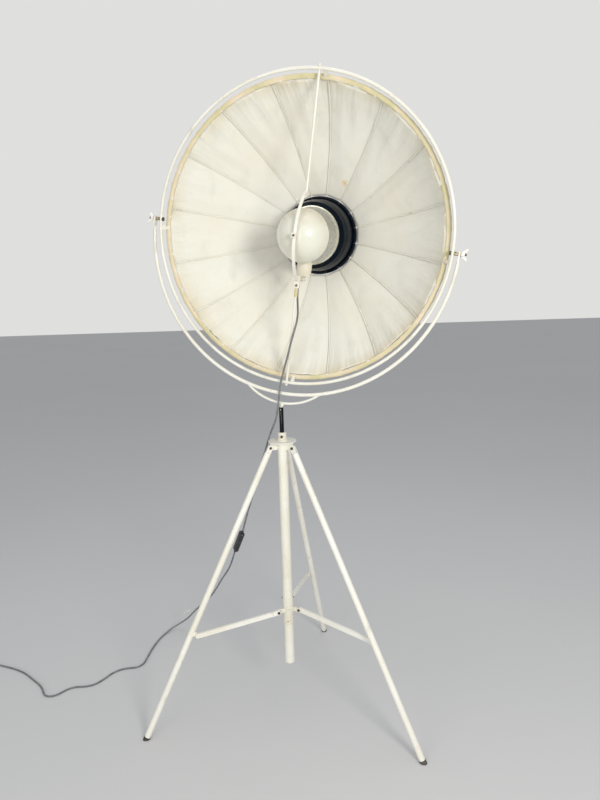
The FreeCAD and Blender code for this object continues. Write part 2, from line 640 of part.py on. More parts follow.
def spun_local(points):
    return spun([Vector(r, depth, 0) for r, depth in points], Vector(0, 0, 0), Y_AXIS)


def make_hub():
    outer = HUB_RADIUS
    inner = BELL_BASE_R + 1.5
    front = HUB_DEPTH - 4
    back = HUB_DEPTH + 16
    sheet = 1.5
    pan = [
        (inner, front), (outer - 3, front), (outer, front + 3), (outer, back - 3),
        (outer - 3, back), (0, back), (0, back - sheet), (outer - 3 - sheet / 2, back - sheet),
        (outer - sheet, back - 3 - sheet / 2), (outer - sheet, front + 3 + sheet / 2),
        (outer - 3 - sheet / 2, front + sheet), (inner, front + sheet),
    ]
    hub = spun_local(pan)
    for rib in rib_solids():
        hub = hub.cut(rib)
    save("hub_ring", placed(hub, HEAD_PLACE))

    rivets = []
    for i in range(RIB_COUNT):
        at = rib_turn(i)
        rivet = rod(Vector(outer - 3.6, front - 1.0, 0), Vector(outer - 3.6, front, 0), 1.6)
        rivets.append(placed(rivet, at))
    save("hub_rivets", placed(Part.makeCompound(rivets), HEAD_PLACE))

    wall = 1.4
    seat = back - 2
    base = BELL_BASE_R
    mouth = BELL_MOUTH_R
    depth = BELL_MOUTH_DEPTH
    bell = [
        (base, seat), (base, seat - 10), (base - 2.5, seat - 45), (base - 7, seat - 75),
        (base - 14, depth + 14), (mouth, depth), (mouth - wall, depth), (base - 14 - wall, depth + 15),
        (base - 7 - wall, seat - 75), (base - 2.5 - wall, seat - 45), (base - wall, seat - 10),
        (base - wall, seat - 2), (base - 16, seat - 2), (base - 16, seat),
    ]
    save("hub_bell", placed(spun_local(bell), HEAD_PLACE))

    rim = mouth - wall - 0.4
    reflector = [
        (rim, depth - 1.5), (rim, depth + 1.5), (rim - 8, depth + 4), (rim - 40, depth + 20),
        (rim - 70, depth + 27), (0, depth + 29), (0, depth + 27.8), (rim - 70, depth + 25.8),
        (rim - 40, depth + 18.8), (rim - 9, depth + 2.6), (rim - 3, depth - 1.5),
    ]
    post = [(0, depth + 29), (6, depth + 29), (6, seat - 0.01), (0, seat - 0.01)]
    shapes = [spun_local(reflector), spun_local(post)]
    save("hub_reflector", placed(fused(shapes), HEAD_PLACE))


# ---------------------------------------------------------------- rods, strap, shield
STRAP_TOP = 126.0
STRAP_BOTTOM = -134.0
STRAP_BULGE = 78.0
STRAP_W = 9.0
STRAP_T = 3.0
STRAP_FACE = 5.8
SPINDLE_R = 2.5
CLAMP_Z = 0.0
CLAMP_DEPTH = 9.0


def strap_rivets():
    face = -STRAP_FACE - STRAP_T / 2
    rivets = []
    for z in (STRAP_TOP - 8, STRAP_BOTTOM + 7):
        shank = rod(Vector(CENTRE_X, face, z), Vector(CENTRE_X, -2, z), 2.0)
        head = rod(Vector(CENTRE_X, face - 1.6, z), Vector(CENTRE_X, face + 0.5, z), 3.6)
        rivets.append(shank.fuse(head).removeSplitter())
    return rivets


def make_rods():
    top = spindle_z(RING_RADIUS)
    inner = top - RING_TUBE_R - 0.2
    outer = top + RING_TUBE_R
    for name, side, start in (("upper_rod", 1, STRAP_TOP - 14), ("lower_rod", -1, STRAP_BOTTOM - 8)):
        def at(z):
            return Vector(CENTRE_X, 0, side * z)

        stem = rod(at(abs(start)), at(inner), ROD_R)
        spigot = rod(at(inner - 1), at(outer + 6), 2.5)
        nut = hex_prism(8.0, 4.0, at(outer + 0.1), at(1) - at(0))
        bar = fused([stem, spigot, nut])
        for rivet in strap_rivets():
            bar = bar.cut(rivet)
        save(name, placed(bar, HEAD_PLACE))


def clamp_screw(face, z):
    head = rod(Vector(CENTRE_X, face, z), Vector(CENTRE_X, face - 2.4, z), 3.4)
    return head.cut(hex_prism(3.0, 2.0, Vector(CENTRE_X, face - 1.0, z), -Y_AXIS))


def make_strap():
    middle_z = (STRAP_TOP + STRAP_BOTTOM) / 2
    chord = (STRAP_TOP - STRAP_BOTTOM) / 2
    bulge = STRAP_BULGE - STRAP_FACE
    radius = (chord ** 2 + bulge ** 2) / (2 * bulge)
    centre = Vector(CENTRE_X, -STRAP_BULGE + radius, middle_z)
    half_w = Vector(STRAP_W / 2, 0, 0)
    band = pipe(centre - half_w, centre + half_w, radius + STRAP_T / 2, radius - STRAP_T / 2)
    window = block(CENTRE_X - 20, CENTRE_X + 20, -120, -STRAP_FACE, STRAP_BOTTOM, STRAP_TOP)
    left = CENTRE_X - STRAP_W / 2
    right = CENTRE_X + STRAP_W / 2
    front = -STRAP_FACE - STRAP_T / 2
    back = -STRAP_FACE + STRAP_T / 2
    feet = [
        block(left, right, front, back, STRAP_TOP - 18, STRAP_TOP),
        block(left, right, front, back, STRAP_BOTTOM, STRAP_BOTTOM + 16),
    ]
    hole_r = SPINDLE_R + RUNNING_GAP
    hole = rod(Vector(CENTRE_X, -120, CLAMP_Z), Vector(CENTRE_X, 0, CLAMP_Z), hole_r)
    strap = fused([band.common(window)] + feet + strap_rivets()).cut(hole)
    save("shield_strap", placed(strap, HEAD_PLACE))

    # Lower clamp: a split block on the rod with an arm that carries the lamp holder.
    block_bottom = STRAP_BOTTOM - 22
    block_top = STRAP_BOTTOM + 16
    arm_top = STRAP_BOTTOM - 1
    body = block(CENTRE_X - 8, CENTRE_X + 8, back, 9, block_bottom, block_top)
    arm = block(SOCKET_X - 6, SOCKET_X + 6, 5, SOCKET_DEPTH + 10, arm_top - 3, arm_top)
    riser_foot = Vector(SOCKET_X, SOCKET_DEPTH, arm_top - 2)
    riser = rod(riser_foot, Vector(SOCKET_X, SOCKET_DEPTH, SOCKET_BOTTOM), 6.0)
    rod_top = Vector(CENTRE_X, 0, STRAP_BOTTOM - 8)
    bore = rod(Vector(CENTRE_X, 0, block_bottom - 1), rod_top, ROD_R)
    screw_z = block_bottom + 8
    clamp = fused([body, arm, riser]).cut(bore)
    for rivet in strap_rivets():
        clamp = clamp.cut(rivet)
    save("lower_clamp", placed(clamp, HEAD_PLACE))

    clamp_front = -STRAP_BULGE - STRAP_T / 2 - CLAMP_DEPTH
    screws = [clamp_screw(back, screw_z), clamp_screw(clamp_front, CLAMP_Z)]
    save("rod_clamp_screws", placed(Part.makeCompound(screws), HEAD_PLACE))


SHIELD_RIM_DEPTH = 8.0


def make_shield():
    ball_centre = Vector(CENTRE_X, SPHERE_DEPTH, CLAMP_Z)
    outer = Part.makeSphere(SPHERE_R, ball_centre)
    inner = Part.makeSphere(SPHERE_R - SHIELD_WALL, ball_centre)
    behind = block(-200, 200, SHIELD_RIM_DEPTH, 200, -200, 200)
    bowl = outer.cut(inner).cut(behind)
    rim_r = math.sqrt(SPHERE_R ** 2 - (SPHERE_DEPTH - SHIELD_RIM_DEPTH) ** 2)
    bead = Part.makeTorus(rim_r - 0.6, 1.5, Vector(CENTRE_X, SHIELD_RIM_DEPTH, CLAMP_Z), Y_AXIS)
    apex = SPHERE_DEPTH - SPHERE_R
    stud = rod(Vector(CENTRE_X, apex + 1.0, CLAMP_Z), Vector(CENTRE_X, apex - 3.4, CLAMP_Z), 4.0)
    strap_front = -STRAP_BULGE - STRAP_T / 2
    spindle_end = Vector(CENTRE_X, strap_front - CLAMP_DEPTH + 1.5, CLAMP_Z)
    spindle = rod(Vector(CENTRE_X, apex - 3.2, CLAMP_Z), spindle_end, SPINDLE_R)
    save("bulb_shield", placed(fused([bowl, bead, stud, spindle]), HEAD_PLACE))

    # Clamp block on the front of the strap, which holds the shield's spindle.
    nub_front = strap_front - CLAMP_DEPTH
    nub_back = strap_front - 0.6
    nub = block(CENTRE_X - 8, CENTRE_X + 6, nub_front, nub_back, CLAMP_Z - 7, CLAMP_Z + 7)
    hole = rod(Vector(CENTRE_X, strap_front - 12, CLAMP_Z), Vector(CENTRE_X, 0, CLAMP_Z), SPINDLE_R + RUNNING_GAP)
    save("shield_clamp", placed(nub.cut(hole), HEAD_PLACE))


# ---------------------------------------------------------------- lamp holder and bulb
def spun_upright(points, x, depth):
    outline = [Vector(x + r, depth, z) for r, z in points]
    return spun(outline, Vector(x, depth, 0), Z_AXIS)


CAP_R = 13.2
HOLDER_BORE_R = 13.7


def make_holder():
    top = SOCKET_TOP
    bottom = SOCKET_BOTTOM
    shell = [
        (0, bottom), (SOCKET_R - 4, bottom), (SOCKET_R - 2, bottom + 2), (SOCKET_R, bottom + 20),
        (SOCKET_R, top - 2), (SOCKET_R - 1, top), (HOLDER_BORE_R, top), (HOLDER_BORE_R, top - 26),
        (0, top - 26),
    ]
    save("lamp_holder", placed(spun_upright(shell, SOCKET_X, SOCKET_DEPTH), HEAD_PLACE))

    base = top - 25
    cap = [
        (0, base), (5, base), (7, base + 3), (CAP_R - 1, base + 5), (CAP_R, base + 7),
        (CAP_R, base + 25), (CAP_R - 0.6, base + 27), (0, base + 27),
    ]
    save("bulb_cap", placed(spun_upright(cap, SOCKET_X, SOCKET_DEPTH), HEAD_PLACE))

    low = base + 27
    glass = [
        (0, low), (CAP_R - 0.8, low), (14.5, low + 8), (19, low + 20), (25, low + 32), (29, low + 44),
        (30, low + 54), (28.5, low + 64), (24, low + 73), (16, low + 80), (8, low + 83), (0, low + 84),
    ]
    save("bulb_glass", placed(spun_upright(glass, SOCKET_X, SOCKET_DEPTH), HEAD_PLACE))


# ---------------------------------------------------------------- cord, switch, plug
CORD_R = 3.0
FLOOR_LAY = CORD_R + 0.1
RELIEF_BASE = 4.6
ROUND_SHARE = 0.45

HEAD_CORD_POINTS = [
    Vector(0, 56, -180), Vector(10, 38, -210), Vector(22, 12, -244), Vector(21, -6, -284),
    Vector(15, -11.5, -322), Vector(10, -12, -360), Vector(3, -12.5, -405), Vector(-4, -16, -452),
]
HANG_POINTS = [
    Vector(-4, -17, 1102), Vector(-10, -16, 1058), Vector(-18, -4, 1014), Vector(-39, 25, 964),
    Vector(-62, 43, 886), Vector(-82, 52, 833), Vector(-97, 61, 772), Vector(-116, 74, 711),
    Vector(-133, 91, 656),
]
SWITCH_TOP = Vector(-147, 108, 604)
SWITCH_END = Vector(-182, 143, 512)
FALL_POINTS = [
    Vector(-194, 163, 470), Vector(-212, 188, 424), Vector(-240, 219, 376), Vector(-268, 265, 315),
    Vector(-294, 308, 264), Vector(-330, 358, 212), Vector(-362, 402, 166), Vector(-390, 450, 122),
    Vector(-413, 490, 81), Vector(-440, 518, 48), Vector(-474, 531, 22), Vector(-505, 518, 8),
]
FLOOR_ROUTE = (
    (-528, 484), (-543, 444), (-554, 396), (-560, 352), (-564, 318), (-568, 286), (-588, 262),
    (-620, 262), (-650, 254), (-678, 232), (-697, 199), (-724, 166), (-757, 157), (-792, 159),
    (-820, 146), (-838, 122), (-864, 107), (-892, 117), (-906, 146), (-929, 180), (-967, 214),
    (-1012, 258), (-1067, 292), (-1136, 321), (-1196, 346), (-1245, 372),
)
COIL_CENTRE = Vector(-1291, 332, 0)
COIL_RADII = (40.0, 36.4, 32.8, 29.2, 25.6, 24.0, 29.2, 32.8, 36.4, 50.0)
COIL_CLIMB = 4
COIL_LAYER = 7.0
PLUG_T = 14.2
PLUG_W = 35.0
PLUG_L = 36.0


def cord_path(points, cut_run):
    """Runs joined by tangent arcs, in two lists that meet in the middle of run number cut_run."""
    first = []
    second = []
    edges = first
    radii = []
    start = points[0]
    for i in range(1, len(points)):
        before = points[i] - points[i - 1]
        if i == cut_run:
            middle = points[i - 1] + before * 0.5
            edges.append(Part.LineSegment(start, middle).toShape())
            start = middle
            edges = second
        if i == len(points) - 1:
            edges.append(Part.LineSegment(start, points[i]).toShape())
            break
        after = points[i + 1] - points[i]
        turn = before.getAngle(after)
        setback = ROUND_SHARE * min(before.Length, after.Length)
        radius = setback / math.tan(turn / 2)
        radii.append(round(radius))
        incoming = Vector(before).normalize()
        outgoing = Vector(after).normalize()
        arc_start = points[i] - incoming * setback
        arc_end = points[i] + outgoing * setback
        inward = (outgoing - incoming).normalize()
        arc_middle = points[i] + inward * (radius / math.cos(turn / 2) - radius)
        edges.append(Part.LineSegment(start, arc_start).toShape())
        edges.append(arc_edge(arc_start, arc_middle, arc_end))
        start = arc_end
    print("cord radii", radii)
    return first, second


def cord_tube(name, edges):
    wire = Part.Wire(edges)
    tube = swept(wire, CORD_R)
    share = tube.Volume / (math.pi * CORD_R ** 2 * wire.Length)
    print("cord", name, "length", round(wire.Length, 1), "volume share", round(share, 4))
    save(name, tube)
    return wire.Length


def half_turn(start, heading, end):
    """Two arcs of about a quarter turn each, from start to end, which leaves against heading."""
    across = end - start
    reach = across.Length / 2
    middle = (start + end) * 0.5 + heading * reach
    edges = []
    for a, tangent, b in ((start, heading, middle), (end, heading, middle)):
        chord = b - a
        along = Vector(chord).normalize()
        side = (tangent - along * tangent.dot(along)).normalize()
        half_angle = tangent.getAngle(chord)
        bow = a + chord * 0.5 + side * (chord.Length / 2 * math.tan(half_angle / 2))
        edges.append((a, bow, b))
    (a, bow_1, b), (c, bow_2, _) = edges
    return [arc_edge(a, bow_1, b), arc_edge(b, bow_2, c)]


def make_coil():
    low = FLOOR_LAY
    high = low + COIL_LAYER
    points = []
    for k, radius in enumerate(COIL_RADII):
        side = 1 if k % 2 == 0 else -1
        z = low if k <= COIL_CLIMB else high
        if k == len(COIL_RADII) - 1:
            z = PLUG_T / 2 + 0.1
        points.append(COIL_CENTRE + Vector(0, side * radius, z))
    straight = 2 * CORD_R
    edges = [Part.LineSegment(points[0] + X_AXIS * straight, points[0]).toShape()]
    for k in range(len(points) - 1):
        heading = X_AXIS * (-1 if k % 2 == 0 else 1)
        edges += half_turn(points[k], heading, points[k + 1])
    end = points[-1] + X_AXIS * straight
    edges.append(Part.LineSegment(points[-1], end).toShape())
    length = cord_tube("cord_coil", edges)

    samples = []
    travelled = 0.0
    for edge in edges:
        steps = 12
        for j in range(steps):
            share = (j + 0.5) / steps
            at = edge.FirstParameter + share * (edge.LastParameter - edge.FirstParameter)
            samples.append((travelled + share * edge.Length, edge.valueAt(at)))
        travelled += edge.Length
    gaps = [
        (p - q).Length
        for i, (s, p) in enumerate(samples)
        for t, q in samples[i + 1:]
        if t - s > 60
    ]
    print("coil least self-gap", round(min(gaps) - 2 * CORD_R, 2))
    return length, end


def lying_block(width, height, length, corner):
    """Rounded bar along +X from the origin, with its cross-section centred on the axis."""
    bar = block(0, length, -width / 2, width / 2, -height / 2, height / 2)
    long_edges = [edge for edge in bar.Edges if abs(edge.BoundBox.XLength - length) < 0.1]
    return bar.makeFillet(corner, long_edges)


def make_plug(cord_end):
    relief_l = 24.0
    relief = Part.makeCone(CORD_R + 0.5, 5.6, relief_l, Vector(0, 0, 0), X_AXIS)
    body = lying_block(PLUG_W, PLUG_T, PLUG_L, 6.0).translated(Vector(relief_l, 0, 0))
    shoulder = [edge for edge in body.Edges if edge.BoundBox.XMax < relief_l + 0.1]
    body = body.makeChamfer(3.0, shoulder) if shoulder else body
    place = Placement(cord_end, Rotation())
    save("plug_body", placed(relief.fuse(body).removeSplitter(), place))
    pins = []
    for side in (-1, 1):
        root = Vector(relief_l + PLUG_L, side * 9.3, 0)
        pin = rod(root, root + X_AXIS * 17.5, 2.0).fuse(Part.makeSphere(2.0, root + X_AXIS * 17.5))
        pins.append(pin.removeSplitter())
    save("plug_pins", placed(Part.makeCompound(pins), place))


def make_switch():
    axis = SWITCH_END - SWITCH_TOP
    neck = 10.0
    body_l = axis.Length - 2 * neck
    body = lying_block(25.0, 17.0, body_l, 7.5).translated(Vector(neck, 0, 0))
    ends = [edge for edge in body.Edges if edge.BoundBox.XLength < 0.01]
    body = body.makeFillet(4.0, ends)
    for x, low_r, high_r in ((0, CORD_R + 0.6, 5.0), (axis.Length - neck, 5.0, CORD_R + 0.6)):
        body = body.fuse(Part.makeCone(low_r, high_r, neck, Vector(x, 0, 0), X_AXIS))
    middle = axis.Length / 2
    slot_l = 20.0
    slider_l = 11.0
    width = 9.0
    top = 8.5
    floor = 5.5
    slot = block(middle - slot_l / 2, middle + slot_l / 2, -width / 2, width / 2, floor, top + 1)
    low_x = middle - slot_l / 2 + SIDE_GAP
    slider = block(low_x, low_x + slider_l, -width / 2 + SIDE_GAP, width / 2 - SIDE_GAP, floor + 0.3, top + 2)
    upper = [edge for edge in slider.Edges if edge.BoundBox.ZMin > top + 1.9]
    slider = slider.makeFillet(0.8, upper)
    turn = Rotation(Vector(1, 0, 0), Vector(axis).normalize())
    facing = turn.multVec(Z_AXIS)
    print("switch facing", facing)
    lay = Placement(SWITCH_TOP, turn)
    save("switch_body", placed(body.cut(slot).removeSplitter(), lay))
    save("switch_slider", placed(slider, lay))
    print("switch travel", slot_l - slider_l - 2 * SIDE_GAP, "axis", Vector(axis).normalize())


def make_cord():
    relief_l = 22.0
    exit_local = Vector(-1, SOCKET_DEPTH - 4, SOCKET_BOTTOM)
    end_local = exit_local - Z_AXIS * relief_l
    relief = Part.makeCone(RELIEF_BASE, CORD_R + 0.4, relief_l, exit_local, exit_local * 0 - Z_AXIS)
    save("holder_relief", placed(relief, HEAD_PLACE))
    upper = [HEAD_PLACE.multVec(point) for point in [end_local] + HEAD_CORD_POINTS]
    upper += HANG_POINTS + [SWITCH_TOP]
    at_head, hanging = cord_path(upper, len(HEAD_CORD_POINTS))
    total = relief_l + cord_tube("cord_head", at_head)
    total += cord_tube("cord_hang", hanging)
    coil_length, coil_end = make_coil()
    lower = [SWITCH_END] + FALL_POINTS
    lower += [Vector(x, y, FLOOR_LAY) for x, y in FLOOR_ROUTE]
    lower.append(COIL_CENTRE + Vector(2 * CORD_R, COIL_RADII[0], FLOOR_LAY))
    falling, lying = cord_path(lower, len(FALL_POINTS) + 1)
    total += cord_tube("cord_fall", falling)
    total += cord_tube("cord_floor", lying)
    total += coil_length
    make_plug(coil_end)
    make_switch()
    print("cord total", total + (SWITCH_END - SWITCH_TOP).Length)


# ---------------------------------------------------------------- build
make_post()
make_top()
make_leg_lugs()
make_leg_pins()
for number, azimuth_deg in enumerate(LEG_AZIMUTHS, start=1):
    make_leg(number, azimuth_deg)
    make_strut(number, azimuth_deg)
make_slider()
make_mast()
make_yoke()
make_pivots()
make_ring()
make_ribs()
make_fabric()
make_hub()
make_rods()
make_strap()
make_shield()
make_holder()
make_cord()

travel, folded_strut = folded_link()
print("leg angle", LEG_ANGLE, "fold", LEG_ANGLE - FOLDED_LEG_ANGLE)
print("strut length", STRUT_LENGTH, "angle", STRUT_ANGLE, "folded", folded_strut, "travel", travel)
print("lean pivot", LEAN_PIVOT, "axis", TURN_YAW.multVec(Y_AXIS))
print("yoke centre", YOKE_CENTRE, "head centre", HEAD_CENTRE)
print("tilt axis", YOKE_TURN.multVec(X_AXIS), "head x", HEAD_TURN.multVec(X_AXIS))
print("head y", HEAD_TURN.multVec(Y_AXIS), "head z", HEAD_TURN.multVec(Z_AXIS))
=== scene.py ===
import math

import bpy
from mathutils import Matrix, Vector


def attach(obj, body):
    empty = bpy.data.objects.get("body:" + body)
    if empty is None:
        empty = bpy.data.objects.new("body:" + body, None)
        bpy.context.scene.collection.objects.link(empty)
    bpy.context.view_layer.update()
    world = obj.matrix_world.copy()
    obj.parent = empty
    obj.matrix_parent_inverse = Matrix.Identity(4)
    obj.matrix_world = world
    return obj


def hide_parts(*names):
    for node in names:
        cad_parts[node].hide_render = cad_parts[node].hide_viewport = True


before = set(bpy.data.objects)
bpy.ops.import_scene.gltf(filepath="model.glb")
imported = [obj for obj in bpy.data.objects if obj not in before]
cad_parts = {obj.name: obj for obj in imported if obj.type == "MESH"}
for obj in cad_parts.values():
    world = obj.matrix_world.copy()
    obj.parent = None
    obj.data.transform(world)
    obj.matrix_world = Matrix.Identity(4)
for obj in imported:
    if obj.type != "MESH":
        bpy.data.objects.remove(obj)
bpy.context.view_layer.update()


# ------------------------------------------------------------------ shader maths
class Shade:
    """A shader socket that takes part in arithmetic: a + b, a * 0.5, a.above(0.6) and so on."""

    def __init__(self, tree, socket):
        self.tree = tree
        self.socket = socket

    def _math(self, operation, *others, clamp=False):
        node = self.tree.nodes.new("ShaderNodeMath")
        node.operation = operation
        node.use_clamp = clamp
        self.tree.links.new(self.socket, node.inputs[0])
        for place, other in enumerate(others, start=1):
            if isinstance(other, Shade):
                self.tree.links.new(other.socket, node.inputs[place])
            else:
                node.inputs[place].default_value = other
        return Shade(self.tree, node.outputs[0])

    def __add__(self, other):
        return self._math("ADD", other)

    def __sub__(self, other):
        return self._math("SUBTRACT", other)

    def __mul__(self, other):
        return self._math("MULTIPLY", other)

    def power(self, other):
        return self._math("POWER", other)

    def wave(self):
        return self._math("SINE")

    def ramp(self, low, high):
        """0 below low, 1 above high, straight between."""
        return (self - low)._math("DIVIDE", high - low, clamp=True)

    def blend(self, low, high):
        """The colour low where this is 0 and high where it is 1. Each is a colour or a Shade."""
        node = self.tree.nodes.new("ShaderNodeMix")
        node.data_type = "RGBA"
        self.tree.links.new(self.socket, node.inputs[0])
        for place, colour in ((6, low), (7, high)):
            if isinstance(colour, Shade):
                self.tree.links.new(colour.socket, node.inputs[place])
            else:
                node.inputs[place].default_value = (*colour, 1)
        return Shade(self.tree, node.outputs[2])


class Finish:
    """A procedural material on object coordinates, with its Principled shader."""

    def __init__(self, name, roughness=0.5, metallic=0.0, coat=0.0):
        self.material = bpy.data.materials.new(name)
        self.material.use_nodes = True
        self.tree = self.material.node_tree
        self.shader = self.tree.nodes["Principled BSDF"]
        self.shader.inputs["Roughness"].default_value = roughness
        self.shader.inputs["Metallic"].default_value = metallic
        self.shader.inputs["Coat Weight"].default_value = coat
        self.place = self.tree.nodes.new("ShaderNodeTexCoord").outputs["Object"]

    def axis(self, name):
        split = self.tree.nodes.new("ShaderNodeSeparateXYZ")
        self.tree.links.new(self.place, split.inputs[0])
        return Shade(self.tree, split.outputs[name])

    def noise(self, scale, detail=2.0, stretch=(1, 1, 1)):
        mapping = self.tree.nodes.new("ShaderNodeMapping")
        mapping.inputs["Scale"].default_value = stretch
        self.tree.links.new(self.place, mapping.inputs["Vector"])
        node = self.tree.nodes.new("ShaderNodeTexNoise")
        node.inputs["Scale"].default_value = scale
        node.inputs["Detail"].default_value = detail
        self.tree.links.new(mapping.outputs[0], node.inputs["Vector"])
        return Shade(self.tree, node.outputs["Fac"])

    def distance(self, point):
        node = self.tree.nodes.new("ShaderNodeVectorMath")
        node.operation = "DISTANCE"
        node.inputs[1].default_value = point
        self.tree.links.new(self.place, node.inputs[0])
        return Shade(self.tree, node.outputs["Value"])

    def attribute(self, name):
        node = self.tree.nodes.new("ShaderNodeAttribute")
        node.attribute_name = name
        return Shade(self.tree, node.outputs["Fac"])

    def set(self, name, value):
        self.tree.links.new(value.socket, self.shader.inputs[name])
        return self

    def bump(self, height, distance, strength=1.0):
        node = self.tree.nodes.new("ShaderNodeBump")
        node.inputs["Distance"].default_value = distance
        node.inputs["Strength"].default_value = strength
        self.tree.links.new(height.socket, node.inputs["Height"])
        self.tree.links.new(node.outputs[0], self.shader.inputs["Normal"])
        return self

    def wear(self, *names):
        """Puts this finish on the CAD nodes or pieces of those names."""
        for name in names:
            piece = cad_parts.get(name) or bpy.data.objects[name]
            piece.data.materials.clear()
            piece.data.materials.append(self.material)


HEAD_ANGLES = (-17.7, 9.05, 7.8, 3.3)  # degrees: yaw, lean of the yoke, lean of its middle, tilt
LEAN_PIN_Z = 1.048
PIN_TO_YOKE_CENTRE = 0.527
YOKE_CENTRE_TO_HEAD = 0.0115


def head_matrix():
    """The head's own frame, from the angles that the CAD stands in: X to the right pivot, Y away, Z up."""
    yaw, lean, centre_lean, tilt = (math.radians(a) for a in HEAD_ANGLES)
    about_post = Matrix.Rotation(yaw, 4, "Z")
    yoke_turn = about_post @ Matrix.Rotation(lean, 4, "Y")
    rise = about_post @ Matrix.Rotation(centre_lean, 4, "Y") @ Vector((0, 0, PIN_TO_YOKE_CENTRE))
    centre = Vector((0, 0, LEAN_PIN_Z)) + rise + yoke_turn @ Vector((0, 0, YOKE_CENTRE_TO_HEAD))
    return Matrix.Translation(centre) @ yoke_turn @ Matrix.Rotation(tilt, 4, "X")


HEAD = head_matrix()


def fresh():
    """Nothing selected, so that the next operator works on the new object alone."""
    bpy.ops.object.select_all(action="DESELECT")


def keep(name, body):
    """Names the new active object, bakes its place into its mesh, and lets it ride on a body."""
    piece = bpy.context.active_object
    piece.name = name
    bpy.ops.object.transform_apply(location=True, rotation=True, scale=True)
    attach(piece, body)
    return piece


# ------------------------------------------------------------------ camera
# The photograph's viewpoint: a wide lens about 2 m in front of the lamp, 1.43 m up, looking slightly down.
SENSOR_WIDTH = 36
LENS = 28.31
CAMERA_PLACE = (0, -1.9611, 1.4344)
camera_data = bpy.data.cameras.new("camera")
camera_data.sensor_width = SENSOR_WIDTH
camera_data.lens = LENS
camera = bpy.data.objects.new("camera", camera_data)
bpy.context.scene.collection.objects.link(camera)
camera_right = Vector((0.99892, -0.03618, -0.02906))
camera_up = Vector((0.03507, 0.17854, 0.98331))
camera_forward = Vector((0.03039, 0.98327, -0.17962))
camera_turn = Matrix((camera_right, camera_up, -camera_forward)).transposed().to_4x4()
camera.matrix_world = Matrix.Translation(CAMERA_PLACE) @ camera_turn
bpy.context.scene.camera = camera


# ------------------------------------------------------------------ cord
# A round grey two-core cord of 6 mm: down the lower rod from the lamp holder, free to the inline switch,
# down to the floor behind the left leg and across it, with the spare length wound just out of view.
CORD_R = 0.003
TIE_R = 0.0014
FIRST_LAYER = 3.1  # mm, the height of the middle of a cord that lies flat
SECOND_LAYER = 10.1
LAST_DROP = 2.9


def cord_curve(name, points, body, thickness=CORD_R):
    """A round line through the points. Its radius sits on the points, which keeps the curve's box true."""
    fresh()
    bpy.ops.curve.primitive_nurbs_path_add()
    curve = bpy.context.active_object
    curve.name = name
    spline = curve.data.splines[0]
    spline.points.add(len(points) - len(spline.points))
    for target, point in zip(spline.points, points):
        target.co = (*point, 1)
        target.radius = thickness
    spline.order_u = 3
    spline.use_endpoint_u = True
    spline.resolution_u = 6
    curve.data.bevel_depth = 1.0
    curve.data.bevel_resolution = 3
    curve.data.use_fill_caps = True
    curve.matrix_world = Matrix.Identity(4)
    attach(curve, body)
    return curve


def metres(points):
    """Points in millimetres as vectors in metres."""
    return [Vector(point) / 1000 for point in points]


head_route = [HEAD @ point for point in metres((
    (-1, 58, -146), (0, 56, -180), (10, 38, -210), (22, 12, -244), (21, -6, -284),
    (15, -11.5, -322), (10, -12, -360), (3, -12.5, -405), (-4, -16, -452),
))]
hang_route = metres((
    (-4, -17, 1102), (-10, -16, 1058), (-18, -4, 1014), (-39, 25, 964), (-62, 43, 886), (-82, 52, 833),
    (-97, 61, 772), (-116, 74, 711), (-133, 91, 656), (-147, 108, 604),
))
fall_route = metres((
    (-182, 143, 512), (-194, 163, 470), (-212, 188, 424), (-240, 219, 376), (-268, 265, 315),
    (-294, 308, 264), (-330, 358, 212), (-362, 402, 166), (-390, 450, 122), (-413, 490, 81),
    (-440, 518, 48), (-474, 531, 22), (-505, 518, 8),
))
floor_route = [Vector((x, y, FIRST_LAYER)) / 1000 for x, y in (
    (-528, 484), (-543, 444), (-554, 396), (-560, 352), (-564, 318), (-568, 286), (-588, 262),
    (-620, 262), (-650, 254), (-678, 232), (-697, 199), (-724, 166), (-757, 157), (-792, 159),
    (-820, 146), (-838, 122), (-864, 107), (-892, 117), (-906, 146), (-929, 180), (-967, 214),
    (-1012, 258), (-1067, 292), (-1136, 321), (-1196, 346), (-1245, 372), (-1285, 372),
)]
split = (head_route[-2] + head_route[-1]) / 2
cord_top = cord_curve("cord_on_rod", head_route[:-1] + [split], "head")
cord_free = cord_curve("cord_to_switch", [split, head_route[-1]] + hang_route, "stand")


def coil_route():
    """The wound spare length: half turns that wind in, climb to a second layer and wind out again."""
    centre = Vector((-1.291, 0.332, 0))
    radii = (40.0, 36.4, 32.8, 29.2, 25.6, 24.0, 29.2, 32.8, 36.4, 50.0)
    chord_to_arc = 1.012
    climb = 4
    per_half = 7
    points = []
    for k in range(len(radii) - 1):
        for j in range(per_half):
            share = (j + 0.5) / per_half
            angle = math.pi * (k + share) + math.pi / 2
            smooth = share * share * (3 - 2 * share)
            radius = (radii[k] + (radii[k + 1] - radii[k]) * share) * chord_to_arc / 1000
            height = FIRST_LAYER if k < climb else SECOND_LAYER
            if k == climb:
                height = FIRST_LAYER + (SECOND_LAYER - FIRST_LAYER) * smooth
            if k == len(radii) - 2:
                height = SECOND_LAYER - LAST_DROP * smooth
            spoke = Vector((radius * math.cos(angle), radius * math.sin(angle), height / 1000))
            points.append(centre + spoke)
    end = centre + Vector((0, -0.050, 0.0072))  # where the plug's neck begins
    return points + [end + Vector((0.002, 0, 0)), end + Vector((0.006, 0, 0))]


